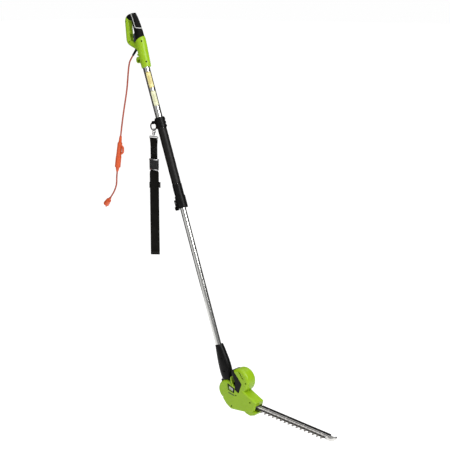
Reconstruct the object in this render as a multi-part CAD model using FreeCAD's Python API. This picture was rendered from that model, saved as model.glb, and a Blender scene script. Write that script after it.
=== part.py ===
import FreeCAD, Part
import math
import os

# Telescopic corded pole hedge trimmer, in millimetres, +Z up. The trimmer's profile lies in
# the XZ plane: D-handle at the top on the -X side, cutting head at the bottom on the +X side.
# The origin is the middle of the rear grip, where the hand holds the trimmer up.
# Pole frame: z runs up the pole's axis and x points away from the D-loop.
# Head frame: origin on the tilt pin, x along the blades, z towards the motor.

V = FreeCAD.Vector

# ---- Pose and overall layout ----
LEAN = 19.3                # lean of the pole from the vertical
BEND = 65.0                # angle between the pole and the blades
GRIP_X, GRIP_Z = 9.0, 596.0
PIVOT_Z = -965.0           # tilt pin on the pole's axis
HOUSING_Z = 420.0          # lower rim of the rear housing
COLLAR_Z = (158.0, 203.0)
FOAM_Z = (-84.0, 157.5)
SLEEVE_Z = (-136.0, -84.5)
CLAMP_Z = (-188.0, -136.0)
NECK_TOP = -775.0
NECK_END = -922.0

# ---- Tubes and grips ----
UPPER_R, UPPER_BORE = 15.0, 13.7
LOWER_R, LOWER_BORE = 12.5, 11.2
FOAM_R = 19.3
COLLAR_R = 23.0
CLAMP_R = 22.5
CORD_R = 3.5

# ---- Head ----
LOBE_R, LOBE_HALF = 41.0, 26.0
MOTOR_X, MOTOR_Z, MOTOR_R, MOTOR_HALF = 62.0, 61.0, 50.0, 28.0
BODY_HALF = 27.0
SKIN = 3.0
TONGUE_HALF = 14.0
CAN_X, CAN_R = 68.0, 20.0

# ---- Gear train and blades ----
MODULE = 1.2
PINION_TEETH, GEAR_TEETH = 12, 36
GEAR_Z = -3.0              # lower face of the large gear
GEAR_X = CAN_X + MODULE * (PINION_TEETH + GEAR_TEETH) / 2
ECCENTRIC, DISC_R = 8.0, 9.0
BLADE_Z = -33.0            # middle of the blade stack
BLADE_T = 2.0
TOOTH_PITCH, TOOTH_COUNT = 19.8, 16
FIRST_TOOTH = 188.0
BODY_W, TOOTH_REACH = 13.5, 28.0
BAR_END = 506.0
TIP_END = 541.0

# ---- Hanging ring, hook and strap ----
HANG_X = -101.0            # vertical line through ring, hook and strap, from the foam point
RING_R, RING_WIRE = 16.2, 2.8
RING_Z = 152.5
WEB_W = 39.0

os.makedirs("parts", exist_ok=True)


# ---- Helpers ----
def rotate_lean(shape):
    shape.rotate(V(0, 0, 0), V(0, 1, 0), -LEAN)
    return shape


def grip_offset():
    point = FreeCAD.Rotation(V(0, 1, 0), -LEAN).multVec(V(GRIP_X, 0, GRIP_Z))
    return V(-point.x, 0, -point.z)


def save(name, shape):
    shape.exportStep("parts/" + name + ".step")


def save_pole(name, shape):
    shape = shape.copy()
    rotate_lean(shape)
    shape.translate(grip_offset())
    save(name, shape)


def save_hanging(name, shape):
    shape = shape.copy()
    shape.translate(grip_offset())
    save(name, shape)


def save_head(name, shape):
    shape = shape.copy()
    shape.rotate(V(0, 0, 0), V(0, 1, 0), 90.0 - BEND)
    shape.translate(V(0, 0, PIVOT_Z))
    save_pole(name, shape)


def rod(radius, z0, z1, x=0.0, y=0.0):
    return Part.makeCylinder(radius, z1 - z0, V(x, y, z0))


def tube(outer, bore, z0, z1, x=0.0):
    return rod(outer, z0, z1, x).cut(rod(bore, z0 - 1, z1 + 1, x))


def pin_y(radius, y0, y1, x, z):
    return Part.makeCylinder(radius, y1 - y0, V(x, y0, z), V(0, 1, 0))


def box(x0, x1, y0, y1, z0, z1):
    return Part.makeBox(x1 - x0, y1 - y0, z1 - z0, V(x0, y0, z0))


def plate_y(points, y0, y1):
    """Outline in the XZ plane, as thick as y0 to y1."""
    wire = Part.makePolygon([V(x, y0, z) for x, z in points + points[:1]])
    return Part.Face(wire).extrude(V(0, y1 - y0, 0))


def oval(x, z, half_x, half_y):
    """Ellipse in a plane of constant z."""
    if half_x >= half_y:
        curve = Part.Ellipse(V(x + half_x, 0, z), V(x, half_y, z), V(x, 0, z))
    else:
        curve = Part.Ellipse(V(x, half_y, z), V(x - half_x, 0, z), V(x, 0, z))
    return Part.Wire(curve.toShape())


def oval_loft(stations, inset=0.0):
    wires = [oval(x, z, a - inset, b - inset * 1.001) for x, z, a, b in stations]
    return Part.makeLoft(wires, True, False)


def halves(shape):
    near = shape.common(box(-900, 900, -200, 0, -2000, 2000))
    far = shape.common(box(-900, 900, 0, 200, -2000, 2000))
    return near, far


def screws(places, size):
    """Pan-head screws driven along Y from the near side."""
    depth, radius, length = size
    group = []
    for x, z in places:
        head = pin_y(radius, -depth, 2.0 - depth, x, z)
        shank = pin_y(radius / 2, -depth, length - depth, x, z)
        slot = box(x - 0.5, x + 0.5, -depth - 1, 0.9 - depth, z - radius, z + radius)
        group.append(head.fuse(shank).cut(slot))
    return Part.makeCompound(group)


def screw_holes(near, far, places, size):
    depth, radius, length = size
    for x, z in places:
        near = near.cut(pin_y(radius + 0.2, -40, 2.02 - depth, x, z))
        near = near.cut(pin_y(radius / 2 + 0.15, -40, 1, x, z))
        far = far.cut(pin_y(radius / 2 + 0.02, -1, length - depth + 1, x, z))
    return near, far


def rounded_path(points, radii):
    """Straight runs joined by tangent arcs through a list of points."""
    edges = []
    start = points[0]
    for before, corner, after, radius in zip(points, points[1:], points[2:], radii):
        first = (before - corner).normalize()
        last = (after - corner).normalize()
        half = first.getAngle(last) / 2
        cut = radius / math.tan(half)
        begin = corner + first * cut
        end = corner + last * cut
        axis = (first + last).normalize()
        middle = corner + axis * (radius / math.sin(half) - radius)
        edges.append(Part.LineSegment(start, begin).toShape())
        edges.append(Part.Arc(begin, middle, end).toShape())
        start = end
    edges.append(Part.LineSegment(start, points[-1]).toShape())
    return Part.Wire(edges)


def sweep_round(path, radius):
    start = path.Edges[0].firstVertex().Point
    direction = path.Edges[0].tangentAt(path.Edges[0].FirstParameter)
    section = Part.Wire(Part.makeCircle(radius, start, direction))
    return path.makePipeShell([section], True, False)


# ---- Rear handle ----
HOUSING = [(2, HOUSING_Z, 20.0, 20.0), (3, 445, 21.5, 21.0), (5, 485, 22.5, 22.0),
           (7, 525, 24.0, 22.0), (8, 546, 22.5, 21.0)]
GRIP = [(7, 512, 20.5, 19.5), (8, 540, 20.5, 19.5), (9, 560, 19.5, 18.5), (9, 596, 17.5, 17.0),
        (6, 630, 15.5, 15.5), (2, 652, 14.0, 14.0)]
TRIGGER_TOP = (-3.0, 573.0)
SKIN_DEPTH = 2.6              # thickness of the soft skin
LOCK_PLACE = (8, 508)         # middle of the safety button


def housing(inset=0.0):
    """Rear housing; its upper rim falls away towards the trigger."""
    above = box(-60, 60, -40, 40, 0, 80)
    above.rotate(V(0, 0, 0), V(0, 1, 0), -19)
    above.translate(V(7, 0, 538 - inset))
    return oval_loft(HOUSING, inset).cut(above)


def handle_loop(inset=0.0):
    """D-loop bar from the top of the grip down to the housing."""
    points = [V(2, 0, 642), V(-28, 0, 644), V(-52, 0, 548), V(-2, 0, 503)]
    path = rounded_path(points, [19.0, 19.0])
    bar = Part.Ellipse(V(2, 16.5 - inset, 642), V(2, 0, 655.5 - inset), V(2, 0, 642)).toShape()
    return path.makePipeShell([Part.Wire(bar)], True, False)


def handle_cavity():
    inner = housing(SKIN).fuse(oval_loft(GRIP, 6.0))
    return inner.cut(rod(60, 400, HOUSING_Z + SKIN)).cut(box(-40, 60, -40, 40, 640, 700))


def skinned_top():
    """Room of the soft skin where it runs over the top of the loop."""
    room = box(0, 60, -40, 40, -60, 60)
    room.rotate(V(0, 0, 0), V(0, 1, 0), -20)
    room.translate(V(-24, 0, 650))
    return room.common(box(-40, 60, -40, 40, 606, 700))


def trigger_slot():
    return box(-40, 3, -8.5, 8.5, 536, 576)


def handle_shells():
    core = oval_loft(GRIP, SKIN_DEPTH)
    loop = handle_loop().cut(skinned_top()).fuse(handle_loop(SKIN_DEPTH))
    outer = housing().fuse(core).fuse(loop)
    shell = outer.cut(handle_cavity()).cut(trigger_slot())
    shell = shell.cut(rod(UPPER_R + 0.05, 400, 500))
    shell = shell.cut(relief_hole()).cut(pin_y(5.3, 10, 40, *LOCK_PLACE))
    shell = shell.cut(pin_y(1.56, -11, 11, *TRIGGER_TOP))
    near, far = halves(shell)
    return screw_holes(near, far, HANDLE_SCREWS, HANDLE_SCREW)


HANDLE_SCREWS = [(20.0, 440.0), (24.5, 527.0), (-43.0, 546.0), (-32.0, 630.0)]
HANDLE_SCREW = (12.0, 3.2, 19.0)      # depth of the head's face from the middle, radius, length


def screw_bosses(points, cavity):
    """Solid posts across the cavity at each screw."""
    posts = Part.makeCompound([pin_y(5.0, -40, 40, x, z) for x, z in points])
    return posts.common(cavity)


def skin_outline(inset=0.0):
    """The grip and the top of the loop, as the soft skin covers them."""
    return oval_loft(GRIP, inset).fuse(handle_loop(inset).common(skinned_top()))


def skin_layer(inset=0.0):
    layer = skin_outline(inset).cut(oval_loft(GRIP, SKIN_DEPTH)).cut(handle_loop(SKIN_DEPTH))
    return layer.cut(housing())


def grip_overmould():
    """Soft skin of the grip in two patches, open at the trigger."""
    skin = skin_layer().cut(trigger_slot()).cut(pin_y(1.6, -11, 11, *TRIGGER_TOP))
    skin = skin.cut(piping_band(0.02))
    return Part.makeCompound([solid for solid in skin.Solids if solid.Volume > 200])


def piping_band(extra):
    """Bent line of pale piping: up both sides of the grip and down across its front."""
    outline = [(45, 570.3 - extra), (11.0 - extra, 589.0 - extra), (8.0 - extra, 628), (1.5 - extra, 668),
               (4.5 + extra, 668), (11.0 + extra, 628), (13.9 + extra, 591.2 + extra), (45, 573.7 + extra)]
    return plate_y(outline, -40, 40)


def grip_piping():
    solids = skin_layer(-0.4).common(piping_band(0.0)).Solids
    return Part.makeCompound([solid for solid in solids if solid.Volume > 20])


def trigger():
    x, z = TRIGGER_TOP
    outline = [(x, z + 2.5), (x - 12, z - 2), (x - 19, z - 12), (x - 17.5, z - 22), (x - 22, z - 33),
               (x - 16, z - 35), (x + 1, z - 35), (x + 1, z - 8), (x + 3.5, z)]
    blade = plate_y(outline, -7.8, 7.8)
    return blade.fuse(pin_y(3.0, -7.8, 7.8, x, z)).fuse(pin_y(1.5, -10.5, 10.5, x, z))


def trigger_spring():
    """Bent leaf between the switch and the trigger's inner face."""
    leaf = [(-1.6, 541), (-1.0, 541), (3.4, 549), (3.4, 562), (2.8, 562), (2.8, 549.2)]
    return plate_y(leaf, -3, 3)


def switch_box():
    body = box(3.6, 17, -7, 7, 543, 565)
    button = box(3.0, 3.6, -2, 2, 543.5, 547)
    return body.fuse(button)


def terminal_block():
    block = box(-9, 12, -8, 8, 507, 522)
    ports = [Part.makeCylinder(1.6, 8, V(x, 0, 515)) for x in (-5, 1.5, 8)]
    return block.cut(Part.makeCompound(ports))


def lock_button():
    """Safety button on the far side of the housing, pressed inwards along Y."""
    cap = pin_y(5.0, 16.0, 25.0, *LOCK_PLACE)
    rim = pin_y(6.6, 13.6, 16.4, *LOCK_PLACE)
    return cap.fuse(rim)


def relief_axis():
    start = V(-22.0, 0, 511.0)
    return start, V(-28.0, 0, -17.0).normalize()


def relief_hole():
    start, along = relief_axis()
    return Part.makeCylinder(6.1, 26, start - along * 16, along)


def strain_relief():
    """Ribbed rubber sleeve, with a flange held inside the housing."""
    start, along = relief_axis()
    neck = Part.makeCone(6.0, 4.6, 44, start - along * 4, along)
    flange = Part.makeCylinder(6.0, 8, start - along * 12, along)
    body = neck.fuse(flange)
    for step in range(6):
        groove = Part.makeCylinder(9, 1.6, start + along * (14 + 4.2 * step), along)
        core = Part.makeCylinder(4.3, 1.6, start + along * (14 + 4.2 * step), along)
        body = body.cut(groove.cut(core))
    return body.cut(oval_loft(HOUSING, SKIN).common(box(-60, -12, -30, 30, 480, 495)))


def cord_hook():
    """Hook on the housing that the lead's loop is hung on."""
    outline = [(-16, 474), (-30, 474), (-37, 466), (-38, 456), (-33, 449), (-24, 446), (-16, 446)]
    hook = plate_y(outline, -9, 9)
    hook = hook.cut(box(-31, -10, -12, 12, 451, 461))
    stud = Part.makeCylinder(4.5, 12, V(-16, 0, 483), V(-1, 0, 0))
    return Part.makeCompound([hook.cut(oval_loft(HOUSING)), stud.cut(oval_loft(HOUSING))])


# ---- Upper pole ----
def upper_tube():
    return tube(UPPER_R, UPPER_BORE, -176.0, 499.0)


def foam_grip():
    sleeve = tube(FOAM_R, UPPER_R, *FOAM_Z)
    rims = [e for e in sleeve.Edges if abs(e.Length - 2 * math.pi * FOAM_R) < 0.1]
    return sleeve.makeFillet(2.5, rims)


def lug_point():
    """Top of the carry ring's wire, in the pole frame."""
    back = FreeCAD.Rotation(V(0, 1, 0), LEAN)
    return back.multVec(V(HANG_X, 0, RING_Z + RING_R))


def strap_collar():
    """Ring on the tube with three ribs and the eye that carries the ring."""
    body = tube(COLLAR_R - 2.0, UPPER_R, *COLLAR_Z)
    for z in (160.0, 175.0, 190.0):
        body = body.fuse(tube(COLLAR_R, UPPER_R, z, z + 8.0))
    eye = lug_point()
    arm = plate_y([(-15, 189), (eye.x + 2, 199), (eye.x - 3.5, 197), (eye.x - 3.5, eye.z - 7),
                   (eye.x + 2.5, eye.z - 7), (eye.x + 3, 192), (-15, 181)], -7.5, 7.5)
    body = body.fuse(arm.cut(rod(UPPER_R, 100, 250)))
    along = FreeCAD.Rotation(V(0, 1, 0), LEAN).multVec(V(1, 0, 0))
    body = body.cut(Part.makeCylinder(RING_WIRE + 1.5, 16, eye - along * 8, along))
    centre = FreeCAD.Rotation(V(0, 1, 0), LEAN).multVec(V(HANG_X, 0, RING_Z))
    for swing in (-40, -20, 0, 20, 40):
        room = Part.makeTorus(RING_R, RING_WIRE + 0.7, centre, V(0, 1, 0))
        room.rotate(eye, along, swing)
        body = body.cut(room)
    return body.cut(pin_y(3.25, 19.0, 30, 0, 179)).cut(pin_y(2.05, 10, 30, 0, 179))


def collar_screw():
    """Set screw in the back of the collar, its point on the tube."""
    return pin_y(2.0, UPPER_R + 0.1, 20.0, 0, 179).fuse(pin_y(3.2, 19.05, 22.3, 0, 179))


def clamp_sleeve():
    sleeve = tube(20.0, UPPER_R, *SLEEVE_Z)
    nub = box(-25, -15, -3.5, 3.5, -116, -104).cut(rod(19, -130, -90))
    return sleeve.fuse(nub)


def clamp_block():
    """Body of the telescope lock: a split block with ears for the lever's pin."""
    z0, z1 = CLAMP_Z
    block = rod(CLAMP_R, z0, z1).cut(rod(UPPER_R, -176.5, z1 + 1)).cut(rod(LOWER_R + 0.3, z0 - 1, z1))
    ears = box(-CLAMP_R - 9, -15, -9, 9, z0 + 12, z1 - 12).cut(rod(UPPER_R + 1, z0 - 1, z1 + 1))
    block = block.fuse(ears).cut(box(-60, -14, -3.4, 3.4, z0 - 1, z1 + 1))
    return block.cut(pin_y(2.55, -20, 20, -CLAMP_R - 4, -160))


def clamp_pin():
    return pin_y(2.5, -9.0, 9.0, -CLAMP_R - 4, -160)


def clamp_lever():
    """Cam lever that lies down the block when locked."""
    x = CLAMP_R + 4
    arm = [(x - 2.5, -156), (x + 4.5, -155), (x + 9, -168), (x + 9, -187), (x + 5.5, -192), (x + 5, -178),
           (x + 1, -166), (x - 2.5, -164)]
    lever = plate_y(arm, -3.0, 3.0).fuse(plate_y([(x + 5.3, -176), (x + 9, -176), (x + 9, -187),
                                                  (x + 5.5, -192)], -11, 11))
    lever = lever.fuse(pin_y(4.6, -3.0, 3.0, x, -160)).cut(pin_y(2.56, -20, 20, x, -160))
    return lever.mirror(V(0, 0, 0), V(1, 0, 0))


def guide_bush():
    return tube(UPPER_BORE, LOWER_R + 0.05, -174.0, -150.0)


def coiled_cable():
    return rod(7.0, -30.0, 480.0)


# ---- Lower pole and neck ----
NECK = [(3.0, NECK_TOP, 17.0, 16.5), (4.5, -800, 21.0, 19.0), (5.5, -850, 27.5, 22.0),
        (5.0, -890, 28.0, 23.0), (4.0, -908, 25.5, 22.0), (3.5, NECK_END, 21.5, 20.0)]
NECK_SCREWS = [(14.0, -836.0), (12.0, -888.0)]
NECK_SCREW = (16.0, 3.4, 23.0)


def lower_tube():
    return tube(LOWER_R, LOWER_BORE, -820.0, -42.0)


def lower_cable():
    return rod(CORD_R, -925.0, -45.0)


def neck_shells():
    shell = oval_loft(NECK)
    tongue = box(-22, 24, -TONGUE_HALF, TONGUE_HALF, PIVOT_Z, NECK_END + 4)
    tongue = tongue.fuse(pin_y(22.0, -TONGUE_HALF, TONGUE_HALF, 0, PIVOT_Z))
    shell = shell.fuse(tongue)
    cavity = oval_loft(NECK, SKIN).common(box(-60, 60, -60, 60, NECK_END + 6, -828.0))
    shell = shell.cut(cavity).cut(rod(LOWER_R, -820.5, NECK_TOP + 1))
    shell = shell.cut(rod(CORD_R + 0.3, NECK_END - 6, -815)).cut(tongue_bore())
    shell = shell.fuse(screw_bosses(NECK_SCREWS, cavity))
    near, far = halves(shell)
    return screw_holes(near, far, NECK_SCREWS, NECK_SCREW)


def tongue_bore():
    disc = pin_y(16.1, -5.1, 5.1, 0, PIVOT_Z)
    return disc.fuse(pin_y(5.05, -30, 30, 0, PIVOT_Z))


def detent_disc():
    """Notched steel disc keyed between the neck's halves; its notches set the tilt steps."""
    disc = pin_y(16.0, -5.0, 5.0, 0, 0)
    for step in range(8):
        angle = math.radians(-70 + 15 * step)
        disc = disc.cut(pin_y(1.6, -6, 6, 16.0 * math.cos(angle), 16.0 * math.sin(angle)))
    disc.translate(V(0, 0, PIVOT_Z))
    return disc.cut(pin_y(5.05, -20, 20, 0, PIVOT_Z))


# ---- Head casing ----
BODY = [(-14, -42), (6, -61), (32, -74), (66, -69), (100, -63), (134, -56), (154, -40), (158, -18),
        (160, -5), (94, 21), (60, 50), (20, 30), (-18, -8)]
FLANGE = [(98, -58), (112, -66), (134, -69), (156, -60), (160, -50), (140, -44), (98, -44)]
LEVER = [(18, 95), (28, 97), (54, 75), (78, 52), (66, 9), (46, 17), (45, 43), (39, 57)]
HEAD_SCREWS = [(100.0, 62.0), (36.0, -60.0), (129.0, -12.0), (54.0, -6.0)]
HEAD_SCREW = (22.0, 3.5, 29.0)
NOTCH = [(47, 20), (46, 60), (24, 96), (18, 114), (-24, 114), (-12, 60), (20, 62), (30, 38),
         (42, 28)]
WINDOW = [(10, 26), (37, 18), (38, 3), (14, 9)]


def polygon_body(points, half, inset=0.0):
    wire = Part.makePolygon([V(x, -half, z) for x, z in points + points[:1]])
    face = Part.Face(wire)
    if inset:
        face = face.makeOffset2D(-inset)
    return face.extrude(V(0, 2 * half, 0))


def round_rims(solid, radius):
    """Fillet every edge that bounds the flat side faces."""
    half = max(abs(solid.BoundBox.YMin), abs(solid.BoundBox.YMax))
    rims = []
    for edge in solid.Edges:
        points = [v.Point for v in edge.Vertexes]
        if all(abs(abs(p.y) - half) < 0.01 for p in points):
            if len(points) == 1 or abs(points[0].y - points[1].y) < 0.01:
                rims.append(edge)
    return solid.makeFillet(radius, rims)


def head_outer():
    motor = round_rims(pin_y(MOTOR_R, -MOTOR_HALF, MOTOR_HALF, MOTOR_X, MOTOR_Z), 12.0)
    lobe = round_rims(pin_y(LOBE_R, -LOBE_HALF, LOBE_HALF, 0, 0), 7.0)
    body = round_rims(polygon_body(BODY, BODY_HALF), 6.0)
    flange = polygon_body(FLANGE, 24.0)
    return motor.fuse(body).fuse(lobe).fuse(flange)


def head_cavity():
    motor = pin_y(MOTOR_R - SKIN - 3, -MOTOR_HALF + SKIN, MOTOR_HALF - SKIN, MOTOR_X, MOTOR_Z)
    body = polygon_body(BODY, BODY_HALF - SKIN, 4.0)
    inner = motor.fuse(body)
    return inner.cut(pin_y(LOBE_R + 3, -30, 30, 0, 0)).cut(lever_zone(3.5))


def lever_zone(extra):
    wire = Part.makePolygon([V(x, -40, z) for x, z in LEVER + LEVER[:1]])
    zone = Part.Face(wire).makeOffset2D(extra).extrude(V(0, 80, 0))
    return zone.cut(box(40, 100, -MOTOR_HALF + SKIN, MOTOR_HALF - SKIN, 0, 120))


def neck_room():
    """Slot in the pivot lobe that the neck's tongue swings through."""
    slot = pin_y(LOBE_R + 4, -TONGUE_HALF - 0.6, TONGUE_HALF + 0.6, 0, 0)
    above = plate_y([(-20, 46), (10, 110), (-60, 110), (-60, 36)], -40, 40)
    return slot.fuse(above)


def blade_room():
    """Flat channel for the blade stack and its mouth at the front."""
    channel = box(70, 200, -17, 17, BLADE_Z - 5.5, BLADE_Z + 10.5)
    mouth = box(136, 200, -22, 22, BLADE_Z - 9, BLADE_Z + 13)
    drive = box(70, 120, -20, 20, BLADE_Z - 5.5, BLADE_Z + 5)
    return channel.fuse(mouth).fuse(drive)


def vents():
    slots = [box(-7, 7, -40, 40, -1.3, 1.3) for _ in range(5)]
    for index, slot in enumerate(slots):
        slot.rotate(V(0, 0, 0), V(0, 1, 0), 20)
        slot.translate(V(62 + 5 * index, 0, 99 - 5.5 * index))
    return Part.makeCompound(slots)


def head_shells():
    cavity = head_cavity()
    shell = head_outer().cut(cavity).cut(neck_room()).cut(blade_room())
    cut_out = Part.makePolygon([V(x, -40, z) for x, z in LEVER + LEVER[:1]])
    shell = shell.cut(Part.Face(cut_out).makeOffset2D(1.6).extrude(V(0, 80, 0)))
    shell = shell.cut(vents()).cut(pin_y(5.03, -19.1, 19.1, 0, 0))
    shell = shell.cut(plate_y(WINDOW, -40, -LOBE_HALF + 5.0))
    shell = shell.cut(plate_y(WINDOW, LOBE_HALF - 5.0, 40)).cut(plate_y(NOTCH, -40, 40))
    shell = shell.cut(pin_y(2.56, -25.2, 25.2, 60, 15))
    shell = shell.fuse(screw_bosses(HEAD_SCREWS, cavity))
    near, far = halves(shell)
    near = max(near.Solids, key=lambda solid: solid.Volume)
    far = max(far.Solids, key=lambda solid: solid.Volume)
    return screw_holes(near, far, HEAD_SCREWS, HEAD_SCREW)


def tilt_pin():
    """Steel pin held in blind bores of the two cheeks."""
    return pin_y(5.0, -19.0, 19.0, 0, 0)


def tilt_lever():
    """Dark squeeze lever in the notch between pivot and motor; it frees the tilt."""
    body = polygon_body(LEVER, BODY_HALF - 0.5)
    body = body.cut(box(44, 100, -24.0, 24.0, -40, 140))
    return body.fuse(pin_y(2.5, 23.0, 24.9, 60, 15)).fuse(pin_y(2.5, -24.9, -23.0, 60, 15))


def tilt_windows():
    """Pale scale plates set in the pivot's cheeks."""
    near = plate_y(WINDOW, -LOBE_HALF + 3.0, -LOBE_HALF + 5.0)
    far = plate_y(WINDOW, LOBE_HALF - 5.0, LOBE_HALF - 3.0)
    return Part.makeCompound([near, far])


# ---- Motor and gears ----
def motor_can():
    can = rod(CAN_R, 27, 86, CAN_X).cut(rod(CAN_R - 2, 29, 84, CAN_X))
    return can.cut(rod(3.6, 0, 100, CAN_X))


def motor_bearings():
    """Two bearing rings seated in the ends of the can."""
    lower = tube(3.6, 2.05, 27, 29, CAN_X).fuse(tube(6, 2.05, 29, 31.5, CAN_X))
    upper = tube(3.6, 2.05, 84, 86, CAN_X).fuse(tube(6, 2.05, 81, 84, CAN_X))
    return Part.makeCompound([lower, upper])


def armature():
    """Wound rotor on its shaft."""
    core = rod(15.5, 36, 70, CAN_X)
    for index in range(8):
        groove = rod(1.6, 35, 71, CAN_X + 15.5)
        groove.rotate(V(CAN_X, 0, 0), V(0, 0, 1), 45 * index)
        core = core.cut(groove)
    return core.fuse(rod(9.0, 33, 76, CAN_X)).fuse(rod(2.0, -4, 92, CAN_X))


def cooling_fan():
    fan = tube(5, 2.0, 87, 92, CAN_X)
    for index in range(7):
        vane = box(CAN_X + 4, CAN_X + 11.5, -0.7, 0.7, 87, 91.5)
        vane.rotate(V(CAN_X, 0, 0), V(0, 0, 1), 360 * index / 7)
        fan = fan.fuse(vane)
    return fan


def gear_outline(teeth, phase):
    """Involute tooth flanks about the origin, thinned a little for backlash."""
    pitch_r = MODULE * teeth / 2
    base_r = pitch_r * math.cos(math.radians(20))
    tip_r = pitch_r + 0.8 * MODULE
    root_r = pitch_r - 1.1 * MODULE
    inv20 = math.tan(math.radians(20)) - math.radians(20)
    half_tooth = math.pi / (2 * teeth) - 0.09 / pitch_r
    flank = []
    for step in range(5):
        radius = max(base_r, root_r) + (tip_r - max(base_r, root_r)) * step / 4
        press = math.acos(min(1.0, base_r / radius))
        flank.append((radius, half_tooth + inv20 - (math.tan(press) - press)))
    points = []
    for tooth in range(teeth):
        centre = phase + 2 * math.pi * tooth / teeth
        ring = [(root_r, -half_tooth - inv20)] + [(r, -a) for r, a in flank]
        ring += [(r, a) for r, a in reversed(flank)] + [(root_r, half_tooth + inv20)]
        points += [V(r * math.cos(centre + a), r * math.sin(centre + a), 0) for r, a in ring]
    return Part.Face(Part.makePolygon(points + points[:1]))


def pinion():
    gear = gear_outline(PINION_TEETH, 0.0).extrude(V(0, 0, 10))
    gear.translate(V(CAN_X, 0, GEAR_Z - 1))
    return gear.cut(rod(2.0, -20, 30, CAN_X))


def drive_gear():
    """Large gear on its shaft with the two eccentric discs that push the blades."""
    gear = gear_outline(GEAR_TEETH, math.pi / GEAR_TEETH + math.pi).extrude(V(0, 0, 8))
    gear.translate(V(GEAR_X, 0, GEAR_Z))
    shaft = rod(5.0, BLADE_Z - 5, GEAR_Z + 8, GEAR_X)
    upper = rod(DISC_R, BLADE_Z + 0.3, BLADE_Z + 2.1, GEAR_X, 0)
    lower = rod(DISC_R, BLADE_Z - 2.1, BLADE_Z - 0.3, GEAR_X, 0)
    upper.translate(V(ECCENTRIC * 0.3, ECCENTRIC * 0.95, 0))
    lower.translate(V(-ECCENTRIC * 0.3, -ECCENTRIC * 0.95, 0))
    return gear.fuse(shaft).fuse(upper).fuse(lower)


def gear_plate():
    """Cast bearing block that carries the drive gear's shaft."""
    block = box(GEAR_X - 20, GEAR_X + 20, -18, 18, -25, GEAR_Z - 0.5)
    return block.cut(rod(5.05, -30, 6, GEAR_X))


# ---- Cutter ----
def tooth_points(centre):
    root, tip = -BODY_W, -TOOTH_REACH
    return [V(centre - 4.6, root * 0.9, 0), V(centre - 1.7, tip, 0), V(centre + 1.7, tip, 0),
            V(centre + 4.6, root * 0.9, 0)]


def blade(shift, z0):
    """Flat blade with teeth on its near side and a window round the eccentric."""
    solid = box(GEAR_X - 32, BAR_END - 12, -BODY_W, BODY_W, z0, z0 + BLADE_T)
    for index in range(TOOTH_COUNT):
        points = tooth_points(FIRST_TOOTH + shift + TOOTH_PITCH * index)
        tooth = Part.Face(Part.makePolygon(points + points[:1])).extrude(V(0, 0, BLADE_T))
        tooth.translate(V(0, 0, z0))
        solid = solid.fuse(tooth)
    yoke = box(GEAR_X - 32, GEAR_X + 32, -20, 20, z0, z0 + BLADE_T)
    window = box(GEAR_X - 26, GEAR_X + 26, -17.6, 17.6, z0 - 1, z0 + BLADE_T + 1)
    solid = solid.cut(box(GEAR_X - 40, GEAR_X + 30, -30, 30, z0 - 1, z0 + 3)).fuse(yoke.cut(window))
    for x in guide_places():
        slot = box(x - 12.5, x + 12.5, -3.3, 3.3, z0 - 1, z0 + BLADE_T + 1)
        solid = solid.cut(slot)
    return solid


def guide_places():
    return [FIRST_TOOTH + 20 + 88 * index for index in range(4)]


def support_bar():
    """Long guide bar over the blades with a raised back rail, held in the casing at its root."""
    z0 = BLADE_Z + BLADE_T + 0.6
    bar = box(128, BAR_END, -9, 10, z0, z0 + 4.5)
    bar = bar.fuse(box(165, BAR_END, 10, BODY_W + 2.5, z0, z0 + 7.5))
    bar = bar.fuse(box(165, BAR_END, BODY_W + 0.5, BODY_W + 2.5, BLADE_Z - BLADE_T, z0 + 1))
    bar = bar.fuse(box(128, 135.5, -16, 16, z0, z0 + 4.5))
    for x in guide_places():
        bar = bar.cut(rod(2.55, z0 - 1, z0 + 6, x))
    return bar


def blade_bolts():
    """Bolt and flat nut at each guide slot, through the bar and both blades."""
    top = BLADE_Z + BLADE_T + 5.1
    bolts = []
    for x in guide_places():
        bolt = rod(2.5, BLADE_Z - BLADE_T - 3.0, top, x).fuse(rod(4.6, top, top + 2.6, x))
        bolts.append(bolt.fuse(rod(5.4, BLADE_Z - BLADE_T - 3.4, BLADE_Z - BLADE_T - 0.6, x)))
    return Part.makeCompound(bolts)


def tip_guard():
    """Pale shield under the blade tips that curls up past the last tooth."""
    z0 = BLADE_Z - BLADE_T - 3.0
    top = BLADE_Z + BLADE_T + 0.6
    sole = [(BAR_END - 10, top), (BAR_END, top), (BAR_END, top + 3.0), (521, top + 3.0),
            (TIP_END - 4, top + 11), (TIP_END, top + 9), (TIP_END - 6, z0 + 5), (522, z0),
            (BAR_END - 10, z0)]
    body = plate_y(sole, -13, 13)
    nose = rod(13.0, -80, 20, TIP_END - 13).fuse(box(BAR_END - 12, TIP_END - 13, -13, 13, -80, 20))
    body = body.common(nose).cut(rod(2.6, -80, 20, BAR_END + 7.5))
    return body.cut(box(BAR_END - 13, BAR_END - 3, -30, 30, BLADE_Z - BLADE_T - 0.5, top))


# ---- Ring, snap hook and strap, hanging straight down ----
def torus_y(major, minor, x, z):
    return Part.makeTorus(major, minor, V(x, 0, z), V(0, 1, 0))


def carry_ring():
    return torus_y(RING_R, RING_WIRE, HANG_X, RING_Z)


HOOK_Z = RING_Z - RING_R       # where the hook's bow passes round the ring's wire
GATE_Y = 9.0


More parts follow.
